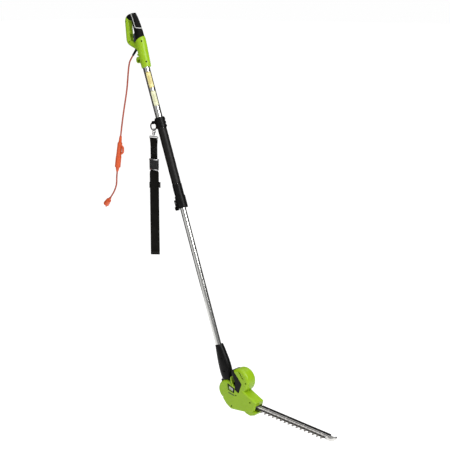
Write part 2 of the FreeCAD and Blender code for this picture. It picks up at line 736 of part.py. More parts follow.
def snap_hook():
    """Wire bow with an open side, on the barrel of a swivel."""
    points = [V(-5.6, 0, -9.8), V(-5.6, 0, 5.2), V(GATE_Y, 0, 5.2), V(GATE_Y, 0, -0.5)]
    bow = sweep_round(rounded_path(points, [4.6, 4.6]), 1.9)
    barrel = rod(6.2, -20, -9.0)
    hook = bow.fuse(barrel).fuse(box(4, GATE_Y + 1.9, -1.9, 1.9, -12, -7.9))
    hook = hook.cut(rod(2.55, -24, -12.5)).cut(rod(4.3, -16.9, -12.4))
    hook.rotate(V(0, 0, 0), V(0, 0, 1), 90)
    hook.translate(V(HANG_X, 0, HOOK_Z))
    return hook


def hook_gate():
    gate = rod(1.5, -6.0, -0.9, GATE_Y).fuse(pin_y(1.5, -1.7, 1.7, GATE_Y, -6.0))
    gate.rotate(V(0, 0, 0), V(0, 0, 1), 90)
    gate.translate(V(HANG_X, 0, HOOK_Z))
    return gate


def swivel_loop():
    """Flat rectangular wire loop under the barrel that carries the webbing."""
    half = WEB_W / 2 + 3.4
    points = [V(0, 0, -27), V(half, 0, -27), V(half, 0, -36), V(0, 0, -36)]
    right = sweep_round(rounded_path(points, [2.6, 2.6]), 2.2)
    left = right.mirror(V(0, 0, 0), V(1, 0, 0))
    stem = rod(2.5, -29, -15.0).fuse(rod(4.2, -16.8, -14.0))
    loop = right.fuse(left).fuse(stem)
    loop.translate(V(HANG_X, 0, HOOK_Z))
    return loop


def web_top():
    return HOOK_Z - 36.0


BUCKLE_TOP, BUCKLE_BOTTOM = 14.0, -34.0
SLIDER_Z = -98.0
STRAP_END = -402.0
STRAP_TURN = 36.0             # turn of the hanging strap below the buckle


def upper_webbing():
    """Short doubled web from the swivel loop down to the buckle."""
    z = web_top()
    body = box(-WEB_W / 2, WEB_W / 2, -4.6, 4.6, BUCKLE_TOP + 0.0, z + 4.8)
    body = body.cut(box(-60, 60, -2.5, 2.5, z - 7.0, z + 2.5))
    body = body.cut(box(-60, 60, -20, -2.2, BUCKLE_TOP - 1, z - 14)).cut(
        box(-60, 60, 2.2, 20, BUCKLE_TOP - 1, z - 14))
    body.translate(V(HANG_X, 0, 0))
    return body


def buckle_socket():
    """Upper half of the side-release buckle, open below for the prongs."""
    body = box(-24, 24, -6.5, 6.5, -24, BUCKLE_TOP)
    edges = [e for e in body.Edges if abs(e.Length - (BUCKLE_TOP + 24)) < 0.01]
    body = body.makeFillet(5.0, edges)
    body = body.cut(box(-18.5, 18.5, -3.6, 3.6, -25, 4))
    body = body.cut(box(-30, 30, -3.6, 3.6, -16, -6))
    body.translate(V(HANG_X, 0, 0))
    return body


def buckle_plug():
    """Lower half with its two sprung prongs."""
    base = box(-22, 22, -5.0, 5.0, BUCKLE_BOTTOM, -24.4)
    base = base.cut(box(-20.3, 20.3, -1.9, 1.9, BUCKLE_BOTTOM - 1, -31.2))
    guide = box(-3, 3, -3.1, 3.1, -25, -2)
    prongs = []
    for side in (-1, 1):
        prong = plate_y([(side * 11, -25), (side * 17.5, -25), (side * 17.5, -8), (side * 12.0, -1),
                         (side * 11, -8)], -3.1, 3.1)
        prongs.append(prong)
    body = base.fuse(guide).fuse(prongs[0]).fuse(prongs[1])
    body.translate(V(HANG_X, 0, 0))
    return body


def lower_webbing():
    """Hanging loop of the shoulder strap: two layers of web, closed at the bottom."""
    strap = box(-WEB_W / 2, WEB_W / 2, -1.6, 1.6, STRAP_END + 12, -42.0)
    hem = box(-WEB_W / 2, WEB_W / 2, -3.4, 3.4, STRAP_END, STRAP_END + 12)
    strap = strap.fuse(hem)
    strap.rotate(V(0, 0, 0), V(0, 0, 1), STRAP_TURN)
    strap = strap.fuse(box(-WEB_W / 2, WEB_W / 2, -1.6, 1.6, -46.0, -31.6))
    strap.translate(V(HANG_X, 0, 0))
    return strap


def strap_slider():
    """Open-fronted slider behind the strap, its ends round the strap's edges."""
    frame = box(-21.6, 25.6, -1.2, 5.6, -12, 12).cut(box(-19.9, 20.4, -1.9, 1.9, -20, 20))
    frame = frame.cut(box(-16, 16, -9, 9, 3, 9)).cut(box(-16, 16, -9, 9, -9, -3))
    frame.rotate(V(0, 0, 0), V(0, 0, 1), STRAP_TURN)
    frame.translate(V(HANG_X, 0, SLIDER_Z))
    return frame


# ---- Supply lead with its inline coupler ----
def lead_start():
    start, along = relief_axis()
    point = FreeCAD.Rotation(V(0, 1, 0), -LEAN).multVec(start + along * 40)
    heading = FreeCAD.Rotation(V(0, 1, 0), -LEAN).multVec(along)
    return point, heading


LEAD_POINTS = [(-238.5, 0, 413), (-246.0, 0, 372), (-251.0, 0, 327), (-258.5, 0, 283),
               (-269.0, 0, 240), (-279.0, 0, 197), (-288.5, 0, 153)]
COUPLER_TOP = V(-299.0, 0, 95.0)
COUPLER_BOTTOM = V(-325.0, 0, -62.0)
TAIL_POINTS = [(-333.5, 4, -117), (-347.0, 8, -143), (-367.0, 13, -168)]
TAIL_END = V(-392.0, 19, -191.0)


def cord_tube(name, points):
    """Round cord through the points, each bend as wide as its two runs allow."""
    radii = []
    for before, corner, after in zip(points, points[1:], points[2:]):
        turn = (corner - before).getAngle(after - corner)
        run = min((corner - before).Length, (after - corner).Length)
        radii.append(0.45 * run / math.tan(turn / 2))
    path = rounded_path(points, radii)
    solid = sweep_round(path, CORD_R)
    expected = math.pi * CORD_R ** 2 * path.Length
    print(name, "length", round(path.Length, 1), "volume ratio", round(solid.Volume / expected, 4),
          "radii", [round(r) for r in radii])
    return solid


def lead_cord():
    start, heading = lead_start()
    points = [start, start + heading * 16.0] + [V(*p) for p in LEAD_POINTS] + [COUPLER_TOP]
    return cord_tube("lead_cord", points)


def tail_cord():
    leave = COUPLER_BOTTOM + (COUPLER_BOTTOM - COUPLER_TOP).normalize() * 26.0
    points = [COUPLER_BOTTOM, leave] + [V(*p) for p in TAIL_POINTS] + [TAIL_END]
    return cord_tube("tail_cord", points)


def coupler_frame(shape):
    """Stand a shape drawn along -Z on the line of the coupler."""
    along = (COUPLER_BOTTOM - COUPLER_TOP).normalize()
    turn = FreeCAD.Rotation(V(0, 0, -1), along)
    shape.Placement = FreeCAD.Placement(COUPLER_TOP, turn)
    return shape


COUPLER_LENGTH = COUPLER_BOTTOM.sub(COUPLER_TOP).Length
PLUG_LENGTH = 92.0            # of the coupler's upper half


def coupler_plug():
    """Plug half on the trimmer's own lead: tapered boot, body and the finger loop on its side."""
    boot = Part.makeCone(5.0, 7.5, 30, V(0, 0, 0), V(0, 0, -1))
    body = Part.makeCone(10.5, 11.5, PLUG_LENGTH - 30, V(0, 0, -30), V(0, 0, -1))
    loop = [V(0, 0, -36), V(21, 0, -46), V(24, 0, -68), V(0, 0, -86)]
    handle = sweep_round(rounded_path(loop, [9.0, 10.0]), 4.6)
    return coupler_frame(boot.fuse(body).fuse(handle))


def coupler_socket():
    """Socket half with its tapered boot."""
    body = Part.makeCylinder(12.5, COUPLER_LENGTH - PLUG_LENGTH - 20, V(0, 0, -PLUG_LENGTH), V(0, 0, -1))
    boot = Part.makeCone(9.0, 5.0, 20, V(0, 0, -COUPLER_LENGTH + 20), V(0, 0, -1))
    return coupler_frame(body.fuse(boot))


def supply_plug():
    """Plug on the end of the supply tail."""
    along = (TAIL_END - V(*TAIL_POINTS[-1])).normalize()
    boot = Part.makeCone(5.0, 7.0, 18, V(0, 0, 0), V(0, 0, -1))
    body = Part.makeCone(11.0, 13.5, 30, V(0, 0, -18), V(0, 0, -1))
    pins = [Part.makeCylinder(2.0, 16, V(x, 0, -48), V(0, 0, -1)) for x in (-6.5, 6.5)]
    plug = boot.fuse(body).fuse(pins[0]).fuse(pins[1])
    plug.Placement = FreeCAD.Placement(TAIL_END, FreeCAD.Rotation(V(0, 0, -1), along))
    return plug


# ---- Write every piece ----
shell_near, shell_far = handle_shells()
neck_near, neck_far = neck_shells()
head_near, head_far = head_shells()

POLE_PARTS = {
    "handle_shell_near": shell_near,
    "handle_shell_far": shell_far,
    "handle_screws": screws(HANDLE_SCREWS, HANDLE_SCREW),
    "grip_overmould": grip_overmould(),
    "grip_piping": grip_piping(),
    "trigger": trigger(),
    "trigger_spring": trigger_spring(),
    "switch_box": switch_box(),
    "terminal_block": terminal_block(),
    "lock_button": lock_button(),
    "strain_relief": strain_relief(),
    "cord_hook": cord_hook(),
    "upper_tube": upper_tube(),
    "foam_grip": foam_grip(),
    "strap_collar": strap_collar(),
    "collar_screw": collar_screw(),
    "clamp_sleeve": clamp_sleeve(),
    "clamp_block": clamp_block(),
    "clamp_pin": clamp_pin(),
    "clamp_lever": clamp_lever(),
    "guide_bush": guide_bush(),
    "coiled_cable": coiled_cable(),
    "lower_tube": lower_tube(),
    "lower_cable": lower_cable(),
    "neck_shell_near": neck_near,
    "neck_shell_far": neck_far,
    "neck_screws": screws(NECK_SCREWS, NECK_SCREW),
    "detent_disc": detent_disc(),
}
HEAD_PARTS = {
    "head_shell_near": head_near,
    "head_shell_far": head_far,
    "head_screws": screws(HEAD_SCREWS, HEAD_SCREW),
    "tilt_pin": tilt_pin(),
    "tilt_lever": tilt_lever(),
    "tilt_windows": tilt_windows(),
    "motor_can": motor_can(),
    "motor_bearings": motor_bearings(),
    "armature": armature(),
    "cooling_fan": cooling_fan(),
    "pinion": pinion(),
    "drive_gear": drive_gear(),
    "gear_plate": gear_plate(),
    "blade_upper": blade(0.0, BLADE_Z + 0.2),
    "blade_lower": blade(0.0, BLADE_Z - 0.2 - BLADE_T),
    "support_bar": support_bar(),
    "blade_bolts": blade_bolts(),
    "tip_guard": tip_guard(),
}
HANGING_PARTS = {
    "carry_ring": carry_ring(),
    "snap_hook": snap_hook(),
    "hook_gate": hook_gate(),
    "swivel_loop": swivel_loop(),
    "upper_webbing": upper_webbing(),
    "buckle_socket": buckle_socket(),
    "buckle_plug": buckle_plug(),
    "lower_webbing": lower_webbing(),
    "strap_slider": strap_slider(),
    "lead_cord": lead_cord(),
    "coupler_plug": coupler_plug(),
    "coupler_socket": coupler_socket(),
    "tail_cord": tail_cord(),
    "supply_plug": supply_plug(),
}
for part_name, part_shape in POLE_PARTS.items():
    save_pole(part_name, part_shape)
for part_name, part_shape in HEAD_PARTS.items():
    save_head(part_name, part_shape)
for part_name, part_shape in HANGING_PARTS.items():
    save_hanging(part_name, part_shape)
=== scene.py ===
import math

import bpy
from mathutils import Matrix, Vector


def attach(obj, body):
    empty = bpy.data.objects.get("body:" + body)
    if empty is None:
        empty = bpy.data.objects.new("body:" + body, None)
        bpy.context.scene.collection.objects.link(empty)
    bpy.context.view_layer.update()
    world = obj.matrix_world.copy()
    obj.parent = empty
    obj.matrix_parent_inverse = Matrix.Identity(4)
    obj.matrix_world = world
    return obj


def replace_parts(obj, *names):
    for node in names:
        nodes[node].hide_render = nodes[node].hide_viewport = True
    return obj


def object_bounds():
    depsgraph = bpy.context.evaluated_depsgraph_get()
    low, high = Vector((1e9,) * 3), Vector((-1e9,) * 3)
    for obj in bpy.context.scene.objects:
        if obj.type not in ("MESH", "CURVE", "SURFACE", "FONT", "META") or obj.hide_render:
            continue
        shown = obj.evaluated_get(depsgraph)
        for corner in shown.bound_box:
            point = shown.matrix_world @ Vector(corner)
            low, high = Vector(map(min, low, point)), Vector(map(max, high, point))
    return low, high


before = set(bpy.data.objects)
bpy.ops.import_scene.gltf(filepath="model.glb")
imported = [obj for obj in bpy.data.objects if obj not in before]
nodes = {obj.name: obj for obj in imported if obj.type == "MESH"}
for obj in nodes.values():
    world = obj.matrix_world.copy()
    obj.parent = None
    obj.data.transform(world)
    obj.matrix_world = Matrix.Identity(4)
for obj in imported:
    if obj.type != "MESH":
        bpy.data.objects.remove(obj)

cad_box = [list(corner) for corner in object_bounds()]

# ---- Camera ----
# A long lens on a tripod, turned forty degrees round from the side of the pole and looking a little down
# on it from four and a half metres away.
def bearing(azimuth, elevation):
    """Unit vector out from the tool: degrees round from its near side, and degrees up."""
    a, e = math.radians(azimuth), math.radians(elevation)
    return Vector((math.sin(a) * math.cos(e), -math.cos(a) * math.cos(e), math.sin(e)))


aim = Vector((0.3933, 0.1032, -0.8129))
view_azimuth, view_elevation, view_distance = 40, 12, 4.5
stand = aim + view_distance * bearing(view_azimuth, view_elevation)
lens = bpy.data.cameras.new("camera")
lens.sensor_width = 36.0
lens.lens = 86.12
camera = bpy.data.objects.new("camera", lens)
camera.location = stand
camera.rotation_mode = "QUATERNION"
camera.rotation_quaternion = (aim - stand).to_track_quat("-Z", "Y")
bpy.context.scene.collection.objects.link(camera)
bpy.context.scene.camera = camera


# ---- Supply lead and tail ----
# Round rubber-jacketed flex, seven millimetres thick and orange. It leaves the boot under the handle, hangs
# beside the pole, and runs on below the coupler to its plug.
class Wire:
    """A value on its way through a material's nodes; sums and products of wires add the nodes they need."""

    def __init__(self, tree, socket):
        self.tree, self.socket = tree, socket

    def via(self, kind, settings, inputs, out=0):
        """Any other node: its settings first, then a number or a wire on each socket that is named."""
        node = self.tree.nodes.new(kind)
        for name, value in settings.items():
            if name == "stops":
                ramp = node.color_ramp
                while len(ramp.elements) < len(value):
                    ramp.elements.new(0.5)
                for element, (position, grey) in zip(ramp.elements, value):
                    element.position, element.color = position, (grey, grey, grey, 1)
            else:
                setattr(node, name, value)
        for key, value in inputs.items():
            if isinstance(value, Wire):
                self.tree.links.new(value.socket, node.inputs[key])
            else:
                node.inputs[key].default_value = value
        return Wire(self.tree, node.outputs[out])

    def math(self, operation, a, b=0.0):
        return self.via("ShaderNodeMath", {"operation": operation}, {0: a, 1: b})

    def __add__(self, other):
        return self.math("ADD", self, other)

    __radd__ = __add__

    def __sub__(self, other):
        return self.math("SUBTRACT", self, other)

    def __rsub__(self, other):
        return self.math("SUBTRACT", other, self)

    def __mul__(self, other):
        return self.math("MULTIPLY", self, other)

    __rmul__ = __mul__


def grain(place, scale, detail=2.0, rough=0.5):
    """Random moulding grain, `scale` grains to the metre."""
    sockets = {"Vector": place, "Scale": scale, "Detail": detail, "Roughness": rough}
    return place.via("ShaderNodeTexNoise", {}, sockets)


def steps(value, *stops):
    """The value drawn through a ramp of (position, grey) stops."""
    return value.via("ShaderNodeValToRGB", {"stops": stops}, {0: value})


def mixed(share, first, second):
    """The first colour running to the second by the share; each may be four numbers or a wire."""
    return share.via("ShaderNodeMix", {"data_type": "RGBA"}, {0: share, 6: first, 7: second}, out=2)


def tint(share, low, high):
    """Colour between low and high, by the share."""
    return mixed(share, (*low, 1), (*high, 1))


def relief(height, depth, strength=1.0, under=None):
    """Bumps of that height wire, `depth` metres deep, over any relief under them."""
    sockets = {"Height": height, "Distance": depth, "Strength": strength}
    if under is not None:
        sockets["Normal"] = under
    return height.via("ShaderNodeBump", {}, sockets)


def new_finish(name, coordinates="Object", **fixed):
    """A material with its constant sockets set, and the wire that carries its coordinates."""
    finish = bpy.data.materials.new(name)
    finish.use_nodes = True
    shader = finish.node_tree.nodes["Principled BSDF"]
    for socket, value in fixed.items():
        shader.inputs[socket.replace("_", " ")].default_value = value
    source = finish.node_tree.nodes.new("ShaderNodeTexCoord").outputs[coordinates]
    return finish, Wire(finish.node_tree, source)


def coat(finish, **wires):
    """Joins wires to the finish's own shader."""
    shader = finish.node_tree.nodes["Principled BSDF"]
    for socket, wire in wires.items():
        finish.node_tree.links.new(wire.socket, shader.inputs[socket.replace("_", " ")])
    return finish


def flex_finish():
    finish, place = new_finish("orange flex", Specular_IOR_Level=0.45)
    scuffs = steps(grain(place, 60.0, 4.0), (0.45, 0.0), (0.72, 1.0))
    fine = grain(place, 1400.0)
    return coat(finish, Base_Color=tint(scuffs * 0.5, (0.40, 0.070, 0.036), (0.26, 0.060, 0.038)),
                Roughness=0.42 + scuffs * 0.2, Normal=relief(fine, 0.00012))


orange_flex = flex_finish()
flex_thickness = 0.007


def flex(name, route, body="handle"):
    """A round cord whose line is drawn smoothly along the route's points."""
    line = bpy.data.curves.new(name, "CURVE")
    line.dimensions = "3D"
    line.bevel_depth = flex_thickness / 2
    line.bevel_resolution = 6
    line.resolution_u = 16
    line.use_fill_caps = True
    spline = line.splines.new("NURBS")
    spline.points.add(len(route) - 1)
    for point, (x, y, z) in zip(spline.points, route):
        point.co = (x, y, z, 1.0)
    spline.order_u = 3
    spline.use_endpoint_u = True
    piece = bpy.data.objects.new(name, line)
    bpy.context.scene.collection.objects.link(piece)
    line.materials.append(orange_flex)
    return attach(piece, body)


lead_route = [(-0.02657, 0, -0.12136), (-0.03673, 0, -0.13372), (-0.0500, 0, -0.1525),
              (-0.0575, 0, -0.1935), (-0.0625, 0, -0.2385), (-0.0700, 0, -0.2825), (-0.0805, 0, -0.3255),
              (-0.0905, 0, -0.3685), (-0.1000, 0, -0.4125), (-0.1105, 0, -0.4705)]
tail_route = [(-0.1365, 0, -0.6275), (-0.1408, 0, -0.6531), (-0.1450, 0.004, -0.6825),
              (-0.1585, 0.008, -0.7085), (-0.1785, 0.013, -0.7335), (-0.2035, 0.019, -0.7565)]
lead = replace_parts(flex("supply_lead", lead_route), "lead_cord")
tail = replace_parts(flex("supply_tail", tail_route), "tail_cord")


# ---- Coupler and plug ----
# Inline plug and socket of orange moulded plastic, with a finger loop on the plug's side, and the mains
# plug on the tail. The mouldings are satin, with a fine spark texture and paler rubbed patches.
def clad(finish, *names):
    """Gives the finish to every slot of those CAD nodes."""
    for name in names:
        for place in nodes[name].material_slots:
            place.material = finish


def coupler_finish():
    finish, place = new_finish("orange moulding", Specular_IOR_Level=0.5)
    wear = steps(grain(place, 45.0, 5.0, 0.6), (0.5, 0.0), (0.75, 1.0))
    spark = grain(place, 1800.0, 1.0)
    return coat(finish, Base_Color=tint(wear * 0.35, (0.60, 0.080, 0.012), (0.62, 0.115, 0.035)),
                Roughness=0.36 + wear * 0.2, Normal=relief(spark, 0.00018))


clad(coupler_finish(), "coupler_plug", "coupler_socket", "supply_plug")


# ---- Floor and light ----
# The tool is held up, clear of a broad sheet of white paper that lies low enough for every pose. Large
# panels light it softly: the strongest from the right, a weak one from the left and one from above and
# behind. A wide, dim sun evens them out.
def paper_finish():
    finish, place = new_finish("white paper", Roughness=0.9, Specular_IOR_Level=0.1,
                               Emission_Color=(1, 1, 1, 1), Emission_Strength=0.80)
    mottle = grain(place, 3.0, 3.0)
    return coat(finish, Base_Color=tint(mottle, (0.52, 0.52, 0.515), (0.55, 0.55, 0.545)))


reach = 90.0
tool_foot = cad_box[0][2]
level = tool_foot - 0.92
paper = bpy.data.meshes.new("floor")
paper.from_pydata([(-reach, -reach, level), (reach, -reach, level), (reach, reach, level),
                   (-reach, reach, level)], [], [(0, 1, 2, 3)])
paper.materials.append(paper_finish())
floor = bpy.data.objects.new("floor", paper)
bpy.context.scene.collection.objects.link(floor)

room = bpy.data.worlds.new("studio")
room.use_nodes = True
bpy.context.scene.world = room
air = Wire(room.node_tree, room.node_tree.nodes.new("ShaderNodeTexCoord").outputs["Generated"])
upward = air.via("ShaderNodeSeparateXYZ", {}, {0: air}, out=2)
walls = steps(upward, (0.0, 0.24), (0.30, 0.16), (0.80, 0.55))
seen = air.via("ShaderNodeLightPath", {}, {}, out=0)
glow = mixed(seen, walls, (1.6, 1.6, 1.6, 1))
room.node_tree.links.new(glow.socket, room.node_tree.nodes["Background"].inputs["Color"])
room.node_tree.nodes["Background"].inputs["Strength"].default_value = 0.62


def panel(name, azimuth, elevation, distance, width, height, watts):
    """A flat light panel at that bearing, turned to the middle of the tool."""
    light = bpy.data.lights.new(name, "AREA")
    light.shape = "RECTANGLE"
    light.size, light.size_y, light.energy = width, height, watts
    away = bearing(azimuth, elevation)
    lamp = bpy.data.objects.new(name, light)
    lamp.location = aim + away * distance
    lamp.rotation_mode = "QUATERNION"
    lamp.rotation_quaternion = (-away).to_track_quat("-Z", "Y")
    bpy.context.scene.collection.objects.link(lamp)


panel("key_panel", 78, 34, 3.6, 1.1, 2.2, 105)
panel("fill_panel", 6, 18, 3.8, 0.5, 2.6, 13)
panel("top_panel", 200, 62, 3.4, 2.0, 2.4, 34)


def mirror_board(name, azimuth, distance, half_width, brightness):
    """A board that only shiny surfaces mirror: black for the tubes' rims, white for their middle."""
    a = math.radians(azimuth)
    middle = Vector((aim.x + distance * math.sin(a), aim.y - distance * math.cos(a), tool_foot + 1.4))
    side = Vector((math.cos(a), math.sin(a), 0)) * half_width
    board = bpy.data.meshes.new(name)
    rise = Vector((0, 0, 1.38))
    board.from_pydata([middle - side - rise, middle + side - rise, middle + side + rise,
                       middle - side + rise], [], [(0, 1, 2, 3)])
    card, place = new_finish(name, Roughness=1.0, Specular_IOR_Level=0.0, Emission_Color=(1, 1, 1, 1),
                             Emission_Strength=brightness)
    felt = tint(grain(place, 8.0), (0.004, 0.004, 0.004), (0.012, 0.012, 0.012))
    board.materials.append(coat(card, Base_Color=felt))
    stand_in = bpy.data.objects.new(name, board)
    bpy.context.scene.collection.objects.link(stand_in)
    for seen_by in ("visible_camera", "visible_diffuse", "visible_shadow", "visible_transmission"):
        setattr(stand_in, seen_by, False)


mirror_board("left_board", 280, 1.2, 1.15, 0.06)
mirror_board("right_board", 152, 2.0, 1.45, 0.08)
mirror_board("left_card", 4, 2.6, 0.85, 0.62)
mirror_board("right_card", 52, 2.6, 0.45, 0.50)
sun = bpy.data.lights.new("even_light", "SUN")
sun.energy, sun.angle = 0.9, math.radians(40)
sun_stand = bpy.data.objects.new("even_light", sun)
sun_stand.rotation_euler = (math.radians(28), math.radians(16), 0)
bpy.context.scene.collection.objects.link(sun_stand)


# ---- Rear housing ----
# Two halves of lime-green polypropylene, screwed together along the middle. A fine spark texture covers
# them, and handling has left faint paler scuffs.
def lime_finish(name, scuff_scale):
    finish, place = new_finish(name, Specular_IOR_Level=0.36)
    cloud = grain(place, 14.0, 3.0)
    scuffs = steps(grain(place, scuff_scale, 6.0, 0.65), (0.56, 0.0), (0.74, 1.0))
    spark = grain(place, 1500.0, 1.0)
    body = tint(cloud, (0.222, 0.385, 0.003), (0.285, 0.465, 0.007))
    worn = mixed(scuffs * 0.14, body, (0.44, 0.56, 0.16, 1))
    return coat(finish, Base_Color=worn, Roughness=0.34 + scuffs * 0.16 + cloud * 0.06,
                Normal=relief(spark, 0.00016))


lime_plastic = lime_finish("lime housing", 70.0)
clad(lime_plastic, "handle_shell_near", "handle_shell_far", "cord_hook")


# ---- Soft grip ----
# Black rubber skin moulded over the D-shaped handle and pebbled all over, with a light grey piping line
# between its two patches. It is matt, and dust lightens it a little. The cord's boot and the cables inside
# are of a finer rubber.
def rubber_finish(name, dark, pale, pebble):
    finish, place = new_finish(name, Specular_IOR_Level=0.09)
    cells = place.via("ShaderNodeTexVoronoi", {"feature": "SMOOTH_F1"},
                      {"Vector": place, "Scale": pebble})
    dust = steps(grain(place, 40.0, 5.0, 0.6), (0.42, 0.0), (0.75, 1.0))
    return coat(finish, Base_Color=tint(dust * 0.7, dark, pale), Roughness=0.56 + dust * 0.2,
                Normal=relief(1.0 - cells, 0.0004, 0.8))


grip_rubber = rubber_finish("grip rubber", (0.0028, 0.0028, 0.0024), (0.012, 0.012, 0.010), 620.0)
clad(grip_rubber, "grip_overmould")


def piping_finish():
    finish, place = new_finish("grey piping", Roughness=0.5)
    streak = grain(place, 220.0, 3.0)
    return coat(finish, Base_Color=tint(streak, (0.38, 0.39, 0.37), (0.50, 0.51, 0.48)),
                Normal=relief(streak, 0.0001))


clad(piping_finish(), "grip_piping")
clad(rubber_finish("boot rubber", (0.006, 0.006, 0.006), (0.018, 0.018, 0.018), 900.0),
     "strain_relief", "coiled_cable", "lower_cable")


# ---- Trigger and lock button ----
# The trigger is a slate-coloured moulding under the grip, polished by the fingers. The lock is a small black
# button on the side. The small parts inside and the head's window plates are grey mouldings.
def slate_finish():
    finish, place = new_finish("slate moulding", Specular_IOR_Level=0.5)
    rubbed = steps(grain(place, 90.0, 4.0), (0.4, 0.0), (0.7, 1.0))
    return coat(finish, Base_Color=tint(rubbed, (0.030, 0.030, 0.052), (0.050, 0.050, 0.080)),
                Roughness=0.42 - rubbed * 0.12, Normal=relief(grain(place, 1500.0, 1.0), 0.00012))


clad(slate_finish(), "trigger")


def black_finish(name, dark=(0.0022, 0.0022, 0.0022), pale=(0.009, 0.009, 0.0086), rough=0.36):
    finish, place = new_finish(name, Specular_IOR_Level=0.14)
    scuffs = steps(grain(place, 110.0, 6.0, 0.65), (0.5, 0.0), (0.72, 1.0))
    spark = grain(place, 1300.0, 1.0)
    return coat(finish, Base_Color=tint(scuffs * 0.8, dark, pale), Roughness=rough + scuffs * 0.18,
                Normal=relief(spark, 0.0002))


black_plastic = black_finish("black nylon")
clad(black_plastic, "lock_button", "switch_box")


def grey_finish():
    finish, place = new_finish("grey moulding", Roughness=0.4)
    mottle = grain(place, 120.0, 4.0)
    return coat(finish, Base_Color=tint(mottle, (0.50, 0.51, 0.49), (0.62, 0.63, 0.60)),
                Normal=relief(grain(place, 1400.0, 1.0), 0.00015))


grey_plastic = grey_finish()
clad(grey_plastic, "terminal_block", "guide_bush", "tilt_windows")


# ---- Screws, springs and pins ----
# Zinc-plated steel, turned or pressed, with fine tool marks and a slightly uneven plating. The screws are
# blackened instead.
def steel_finish(name, colour, shade, rough, marks):
    finish, place = new_finish(name, Metallic=1.0)
    lines = grain(place, marks, 3.0)
    stains = steps(grain(place, 35.0, 5.0, 0.6), (0.4, 0.0), (0.75, 1.0))
    return coat(finish, Base_Color=tint(stains * 0.6, colour, shade), Roughness=rough + lines * 0.16,
                Normal=relief(lines, 0.00006))


zinc = steel_finish("zinc-plated steel", (0.80, 0.80, 0.81), (0.60, 0.59, 0.57), 0.24, 900.0)
clad(zinc, "trigger_spring", "clamp_pin", "detent_disc", "tilt_pin", "motor_can", "motor_bearings", "pinion",
     "drive_gear", "snap_hook", "hook_gate", "swivel_loop")
clad(steel_finish("black-oxide screws", (0.05, 0.05, 0.05), (0.10, 0.095, 0.09), 0.34, 900.0),
     "handle_screws", "collar_screw", "neck_screws", "head_screws")


# ---- Pole tubes ----
# Two drawn aluminium tubes, the lower one sliding in the upper. The bright anodising shows faint streaks
# along the length and a few smears.
lean = math.radians(19.3)
up_pole = Vector((-math.sin(lean), 0.0, math.cos(lean)))
across_pole = Vector((math.cos(lean), 0.0, math.sin(lean)))
foam_point = Vector((0.18849, 0.0, -0.56548))


def on_pole(across, side, along):
    """Row-frame point from millimetres across, beside and along the pole's axis."""
    return foam_point + 0.001 * (across * across_pole + along * up_pole + side * Vector((0, 1, 0)))


def tube_finish(name, colour, shade):
    finish, place = new_finish(name, Metallic=1.0)
    dot = {"operation": "DOT_PRODUCT"}
    along = place.via("ShaderNodeVectorMath", dot, {0: place, 1: up_pole}, out=1)
    across = place.via("ShaderNodeVectorMath", dot, {0: place, 1: across_pole}, out=1)
    side = place.via("ShaderNodeSeparateXYZ", {}, {0: place}, out=1)
    fine, coarse = 1100.0, 14.0
    drawn = place.via("ShaderNodeCombineXYZ", {}, {0: across * fine, 1: side * fine, 2: along * coarse})
    streaks = drawn.via("ShaderNodeTexNoise", {}, {"Vector": drawn, "Scale": 1.0, "Detail": 3.0})
    smears = steps(grain(place, 22.0, 5.0, 0.6), (0.42, 0.0), (0.72, 1.0))
    return coat(finish, Base_Color=tint(streaks * 0.5 + smears * 0.3, colour, shade),
                Roughness=0.13 + streaks * 0.08 + smears * 0.05, Normal=relief(streaks, 0.00003))


clad(tube_finish("satin aluminium", (0.72, 0.72, 0.70), (0.52, 0.52, 0.50)),
     "upper_tube", "lower_tube", "gear_plate")


def add_piece(name, points, faces, finish, body, slot, smooth=True, maps=None):
    """A mesh piece in the row frame, with its finish, on its body."""
    mesh = bpy.data.meshes.new(name)
    mesh.from_pydata([tuple(p) for p in points], [], faces)
    mesh.validate()
    if maps is not None:
        layer = mesh.uv_layers.new(name="UVMap")
        for loop in mesh.loops:
            layer.data[loop.index].uv = maps[loop.vertex_index]
    for face in mesh.polygons:
        face.use_smooth = smooth
    mesh.materials.append(finish)
    piece = bpy.data.objects.new(name, mesh)
    bpy.context.scene.collection.objects.link(piece)
    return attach(piece, body)


# ---- Labels on the upper tube ----
# Two blank self-adhesive labels wrapped part of the way round the tube, one yellow and one pale green. Each
# has a plain darker rim, a plain darker panel in the middle and eased corners.
def label_finish(name, ground, dark):
    finish, place = new_finish(name, coordinates="UV", Specular_IOR_Level=0.5, Coat_Roughness=0.15)
    mottle = grain(place, 6.0, 4.0)
    u = place.via("ShaderNodeSeparateXYZ", {}, {0: place}, out=0)
    v = place.via("ShaderNodeSeparateXYZ", {}, {0: place}, out=1)
    inset = u.math("MAXIMUM", u.math("ABSOLUTE", u), v.math("ABSOLUTE", v))
    rim = steps(inset, (0.86, 0.0), (0.89, 1.0))
    panel = steps(inset, (0.52, 1.0), (0.55, 0.0))
    return coat(finish, Base_Color=tint(rim * 0.8 + panel * 0.55 + mottle * 0.1, ground, dark),
                Roughness=0.3 + mottle * 0.15, Normal=relief(mottle, 0.00005))


